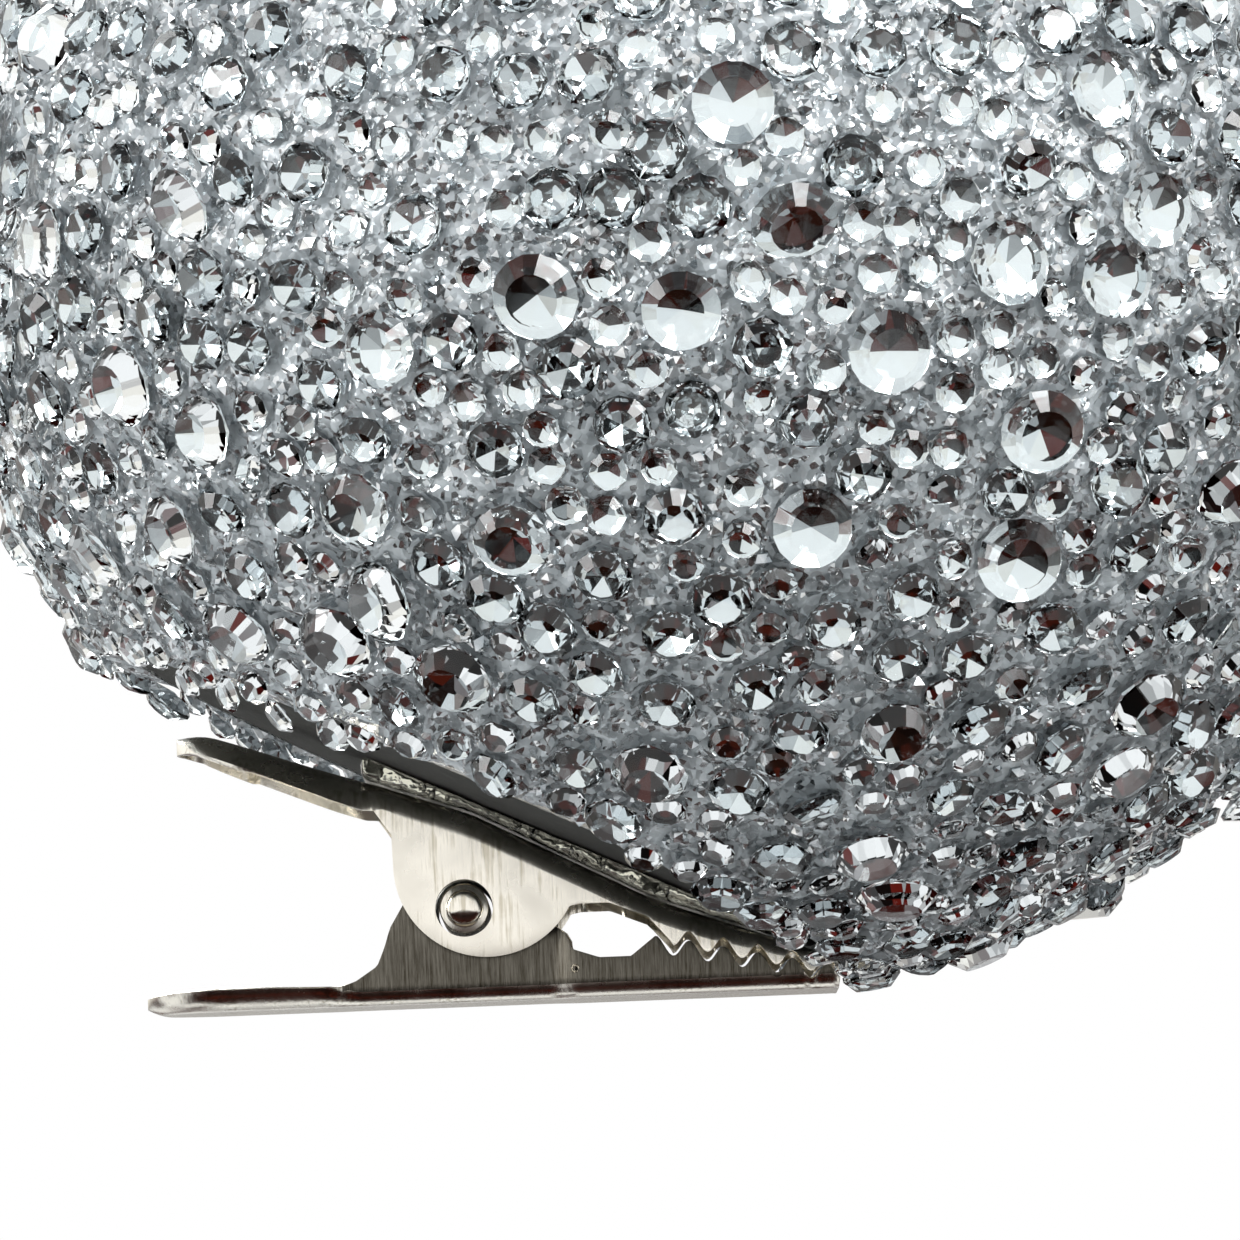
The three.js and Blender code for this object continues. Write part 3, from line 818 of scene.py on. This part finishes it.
def standing(point, normal, lift, lean):
    """Places a stone on the face: its own up along the normal, turned and leaned at random."""
    turn = Matrix.Rotation(rng.uniform(0, 2 * math.pi), 4, "Z")
    tip = Matrix.Rotation(rng.normal(0, lean), 4, "X")
    upright = normal.to_track_quat("Z", "Y").to_matrix().to_4x4()
    return Matrix.Translation(point + normal * lift) @ upright @ turn @ tip


def unit_matrix():
    """The ball's frame in millimetres."""
    matrix = TO_WORLD.copy()
    matrix.translation = matrix.translation / MM
    return matrix


def repeated(form, places, name):
    """One mesh of a form standing at each place on the ball, in millimetres."""
    count = len(form.vertices)
    corners = np.ones((count, 4))
    corners[:, :3] = [v.co for v in form.vertices]
    whole = unit_matrix()
    moved = np.concatenate([corners @ np.array(whole @ place).T for place in places])[:, :3]
    faces = [tuple(p.vertices) for p in form.polygons]
    mesh = bpy.data.meshes.new(name)
    mesh.from_pydata(moved.tolist(), [], [tuple(v + i * count for v in face)
                                          for i in range(len(places)) for face in faces])
    finishes = [p.material_index for p in form.polygons] * len(places)
    mesh.polygons.foreach_set("material_index", finishes)
    mesh.polygons.foreach_set("use_smooth", [p.use_smooth for p in form.polygons] * len(places))
    bpy.data.meshes.remove(form)
    return mesh


def flat_back_stone(diameter, facets):
    """A flat-back: round crown and girdle over a foiled back that has half as many, broad facets."""
    radius = diameter / 2
    crown, girdle, back = 0.20 * diameter, 0.06 * diameter, 0.13 * diameter
    bm = bmesh.new()
    bmesh.ops.create_cone(bm, cap_ends=True, segments=facets, radius1=radius, radius2=radius * 0.6,
                          depth=crown, matrix=Matrix.Translation((0, 0, back + girdle + crown / 2)))
    bottom = min(bm.faces, key=lambda f: f.calc_center_median().z)
    band = bmesh.ops.extrude_face_region(bm, geom=[bottom])
    lowered = [g for g in band["geom"] if isinstance(g, bmesh.types.BMVert)]
    bmesh.ops.translate(bm, vec=(0, 0, -girdle), verts=lowered)
    lowered.sort(key=lambda v: math.atan2(v.co.y, v.co.x))
    flatten = math.cos(2 * math.pi / facets)
    bmesh.ops.scale(bm, vec=(flatten, flatten, 1), verts=lowered[1::2])
    bottom = min((f for f in bm.faces if len(f.verts) == facets), key=lambda f: f.calc_center_median().z)
    fan = bmesh.ops.poke(bm, faces=[bottom])
    bmesh.ops.translate(bm, vec=(0, 0, -back), verts=fan["verts"])
    bmesh.ops.recalc_face_normals(bm, faces=bm.faces)
    for face in bm.faces:
        face.material_index = 1 if face.calc_center_median().z < back else 0
        face.smooth = False
    return to_mesh(bm, "stone_form")


def set_stones():
    """One piece for each size of stone, each stone a little turned, leaned and off size."""
    for name, (diameter, facets, _) in STONE_SIZES.items():
        places = [standing(point, normal, STONE_LIFT + rng.uniform(0, 0.25), 0.2)
                  @ Matrix.Scale(rng.uniform(0.88, 1.04), 4) for point, normal in placed[name]]
        mesh = repeated(flat_back_stone(diameter, facets), places, f"{name}_rhinestones")
        piece(f"{name}_rhinestones", mesh, (ACRYLIC, FOIL), "root",
              stone_nodes if name == "large" else ())


set_stones()


def micro_beads():
    """Tiny beads that fill the resin between the stones: silvered ones, and some of clear glass."""
    places = []
    for _ in range(BEAD_COUNT * BEAD_TRIES):
        if len(places) >= BEAD_COUNT:
            break
        size = rng.uniform(*BEAD_SIZES) ** 1.3
        point, normal = ball_face(random_direction(EDGE_SINE + 0.01))
        if packing.is_free(point, size / 2, -0.2):
            packing.put(point, size / 2)
            places.append(standing(point, normal, size * 0.2, 1.0) @ Matrix.Scale(size, 4))
    for name, share, finish in (("silvered", places[::2], BEAD), ("clear", places[1::2], ACRYLIC)):
        bm = bmesh.new()
        bmesh.ops.create_icosphere(bm, subdivisions=1, radius=0.5)
        for face in bm.faces:
            face.smooth = name == "clear"
        form = to_mesh(bm, "bead_form")
        piece(f"{name}_beads", repeated(form, share, f"{name}_beads"), (finish,))


micro_beads()


# ---- resin skin ----------------------------------------------------------------------------
def resin_skin():
    """The glittered sheet: a lumpy skin that rises round each stone, with a flat cut edge."""
    rows, inner_rows, segments = 150, 10, 420
    thickness = 1.0
    lowest = math.asin(EDGE_SINE)

    def arc(inset, count):
        radius, crown = BALL_RADIUS - inset, CROWN_HEIGHT - inset
        start = -math.asin(BASE_DEPTH / radius)
        points = []
        for i in range(count):
            angle = start + (math.pi / 2 - start) * i / count
            rise = radius if angle < 0 else crown
            points.append((radius * math.cos(angle), rise * math.sin(angle)))
        return points + [(0, crown)]

    outer = arc(0, rows)
    inner = arc(thickness, inner_rows)[::-1]
    bm = lathe(inner + outer, segments)
    tree = kdtree.KDTree(sum(len(v) for v in placed.values()))
    sizes = []
    for name, stones in placed.items():
        for point, _ in stones:
            tree.insert(point, len(sizes))
            sizes.append(STONE_SIZES[name][0] / 2)
    tree.balance()
    for vertex in bm.verts:
        direction = vertex.co.copy()
        direction.z /= CROWN_HEIGHT if direction.z > 0 else BALL_RADIUS
        direction.x /= BALL_RADIUS
        direction.y /= BALL_RADIUS
        if direction.length < 0.985:
            continue
        _, normal = ball_face(direction.normalized())
        raised = 0.20 * noise.noise(vertex.co * 0.55) + 0.14 * noise.noise(vertex.co * 1.6)
        for _, index, distance in tree.find_range(vertex.co, 2.8):
            past = distance - sizes[index]
            if past < 0:
                raised = -0.22
                break
            if past < 0.7:
                raised = max(raised, 0.38 * (1 - past / 0.7))
        vertex.co += normal * raised
    bmesh.ops.transform(bm, matrix=unit_matrix(), verts=bm.verts)
    made = piece("glitter_resin_skin", to_mesh(bm, "glitter_resin_skin"), (RESIN,),
                 "root", ["rhinestone_sheet"])
    smooth_by_angle(made.data, 70)


resin_skin()


# ---- felt, foam ----------------------------------------------------------------------------
def felt_backing():
    """The pressed felt disc that closes the flat base, a little cockled by the glue."""
    radius = math.sqrt((BALL_RADIUS - 1.0) ** 2 - BASE_DEPTH ** 2) - 0.3
    thick = 0.8
    rings = 22
    floor = [(radius * i / rings, 0) for i in range(rings)]
    edge = [(radius - 0.12, 0.03), (radius, 0.2), (radius, thick - 0.2), (radius - 0.15, thick)]
    top = [(radius * (1 - i / 4) - 0.2, thick) for i in range(1, 4)]
    bm = lathe(floor + edge + top + [(0, thick)], 96)
    for vertex in bm.verts:
        cockle = 0.12 * noise.noise(vertex.co * 0.35 + Vector((3, 1, 7)))
        vertex.co.z += max(cockle, -0.02)
    bmesh.ops.translate(bm, vec=(0, 0, -BASE_DEPTH), verts=bm.verts)
    bmesh.ops.transform(bm, matrix=unit_matrix(), verts=bm.verts)
    made = piece("felt_backing", to_mesh(bm, "felt_backing"), (FELT_PAINTED_SHADE,), "root", ["felt_disc"])
    smooth_by_angle(made.data, 60)


felt_backing()
foam = frame["nodes"]["foam_core"]
foam.data.materials.clear()
foam.data.materials.append(FOAM)


# ---- studio: floor, light, camera ----------------------------------------------------------
FLOOR_Z = -0.8 * MM        # clear of the clip's flat bottom


def studio_floor():
    """A pale floor that is seen from above only, so that a low camera can look past its edge."""
    bm = bmesh.new()
    bmesh.ops.create_circle(bm, cap_ends=True, segments=64, radius=4.0)
    bmesh.ops.translate(bm, vec=(0, 0, FLOOR_Z), verts=bm.verts)
    mesh = bpy.data.meshes.new("studio_floor")
    bm.to_mesh(mesh)
    bm.free()
    material, tree, _ = new_material("matt_white_board")
    paint = add(tree, "ShaderNodeBsdfDiffuse", {"Color": srgb("#eeeeec")})
    clear = add(tree, "ShaderNodeBsdfTransparent")
    side = add(tree, "ShaderNodeNewGeometry")
    mix = add(tree, "ShaderNodeMixShader", {0: side.outputs["Backfacing"], 1: paint.outputs[0],
                                            2: clear.outputs[0]})
    finish_material(material, tree, mix.outputs[0])
    mesh.materials.append(material)
    floor = bpy.data.objects.new("studio_floor", mesh)
    bpy.context.scene.collection.objects.link(floor)
    floor.visible_glossy = False
    floor.visible_transmission = False


def studio_world():
    """White behind the object. What lights it is a bright dome over a pale table with dark clutter,
    and a dark brown screen low in front."""
    world = bpy.data.worlds.new("studio")
    bpy.context.scene.world = world
    world.use_nodes = True
    tree = world.node_tree
    tree.nodes.clear()
    direction = add(tree, "ShaderNodeTexCoord").outputs["Generated"]
    parts = add(tree, "ShaderNodeSeparateXYZ", {"Vector": direction})
    drift = add(tree, "ShaderNodeTexNoise", {"Vector": direction, "Scale": 3.5, "Detail": 1.0})
    clutter = add(tree, "ShaderNodeTexNoise", {"Vector": direction, "Scale": 2.6, "Detail": 2.0})
    tilted = add(tree, "ShaderNodeMath", {0: parts.outputs["Y"], 1: -0.18, 2: parts.outputs["Z"]},
                 operation="MULTIPLY_ADD")
    shifted = add(tree, "ShaderNodeMath",
                  {0: drift.outputs["Fac"], 1: 0.16, 2: tilted.outputs[0]}, operation="MULTIPLY_ADD")
    level = add(tree, "ShaderNodeMapRange",
                {"Value": shifted.outputs[0], "From Min": -0.92, "From Max": 1.08})
    dome = ramp(tree, level.outputs[0],
                [(0.0, "#77797b"), (0.29, "#77797b"), (0.37, "#a8a4a1"), (0.47, "#f4f2ec"),
                 (0.56, "#ffffff"), (0.85, "#ffffff"), (0.93, "#90959a"), (1.0, "#c8ccd0")])
    table = ramp(tree, clutter.outputs["Fac"],
                 [(0.40, "#0b0a0a"), (0.44, "#5c1812"), (0.47, "#8f9294"), (0.58, "#f0f2f4")])
    low = add(tree, "ShaderNodeMapRange",
              {"Value": parts.outputs["Z"], "From Min": -0.14, "From Max": -0.26})
    screen = ramp(tree, drift.outputs["Fac"],
                  [(0.40, "#0a0706"), (0.52, "#25130d"), (0.58, "#4c1a10"), (0.65, "#1a0d0a")])
    ahead = add(tree, "ShaderNodeVectorMath", {0: direction, 1: (0.0, -0.55, -0.83)},
                operation="DOT_PRODUCT")
    in_front = add(tree, "ShaderNodeMapRange",
                   {"Value": ahead.outputs["Value"], "From Min": 0.74, "From Max": 0.80})
    strength = 1.1
    lit = [add(tree, "ShaderNodeBackground", {"Color": colour, "Strength": strength}).outputs[0]
           for colour in (dome, table, screen)]
    below = add(tree, "ShaderNodeMixShader", {0: low.outputs[0], 1: lit[0], 2: lit[1]})
    studio = add(tree, "ShaderNodeMixShader",
                 {0: in_front.outputs[0], 1: below.outputs[0], 2: lit[2]})
    page = add(tree, "ShaderNodeBackground", {"Color": srgb("#ffffff"), "Strength": 1.0})
    ray = add(tree, "ShaderNodeLightPath")
    unturned = add(tree, "ShaderNodeMath", {0: ray.outputs["Glossy Depth"], 1: 0.5},
                   operation="LESS_THAN")
    through = add(tree, "ShaderNodeMath",
                  {0: ray.outputs["Is Transmission Ray"], 1: unturned.outputs[0]},
                  operation="MULTIPLY")
    behind = add(tree, "ShaderNodeMath",
                 {0: ray.outputs["Is Camera Ray"], 1: through.outputs[0]}, operation="MAXIMUM")
    mix = add(tree, "ShaderNodeMixShader",
              {0: behind.outputs[0], 1: studio.outputs[0], 2: page.outputs[0]})
    add(tree, "ShaderNodeOutputWorld", {"Surface": mix.outputs[0]})


def softbox(name, place, width, height, power):
    """A square studio light aimed at the ball's middle."""
    lamp = bpy.data.lights.new(name, "AREA")
    lamp.shape = "RECTANGLE"
    lamp.size, lamp.size_y, lamp.energy = width, height, power
    made = bpy.data.objects.new(name, lamp)
    made.location = place
    made.rotation_euler = (BALL_CENTRE - Vector(place)).to_track_quat("-Z", "Y").to_euler()
    bpy.context.scene.collection.objects.link(made)


def product_camera():
    """The camera looks along +Y from just below the clip's level, rolled a little."""
    view_width = 63.2 * MM
    distance = 0.42
    target = Vector((8.4, 0, 19.3)) * MM
    rise = math.radians(5.2)
    roll = math.radians(2.23)
    camera = bpy.data.cameras.new("product_camera")
    camera.sensor_width = 36
    camera.lens = camera.sensor_width * distance / view_width
    camera.clip_start, camera.clip_end = 0.01, 20
    made = bpy.data.objects.new("product_camera", camera)
    forward = Vector((0, math.cos(rise), math.sin(rise)))
    made.location = target - forward * distance
    aim = forward.to_track_quat("-Z", "Y")
    made.rotation_mode = "QUATERNION"
    made.rotation_quaternion = aim @ Matrix.Rotation(-roll, 4, "Z").to_quaternion()
    bpy.context.scene.collection.objects.link(made)
    bpy.context.scene.camera = made


studio_floor()
studio_world()
softbox("key_softbox", (0.35, -0.55, 0.62), 0.45, 0.45, 9.0)
softbox("left_softbox", (-0.65, -0.25, 0.30), 0.25, 0.5, 3.0)
softbox("back_softbox", (-0.2, 0.7, 0.55), 0.5, 0.4, 5.0)
product_camera()
bpy.context.scene.view_settings.view_transform = "Standard"
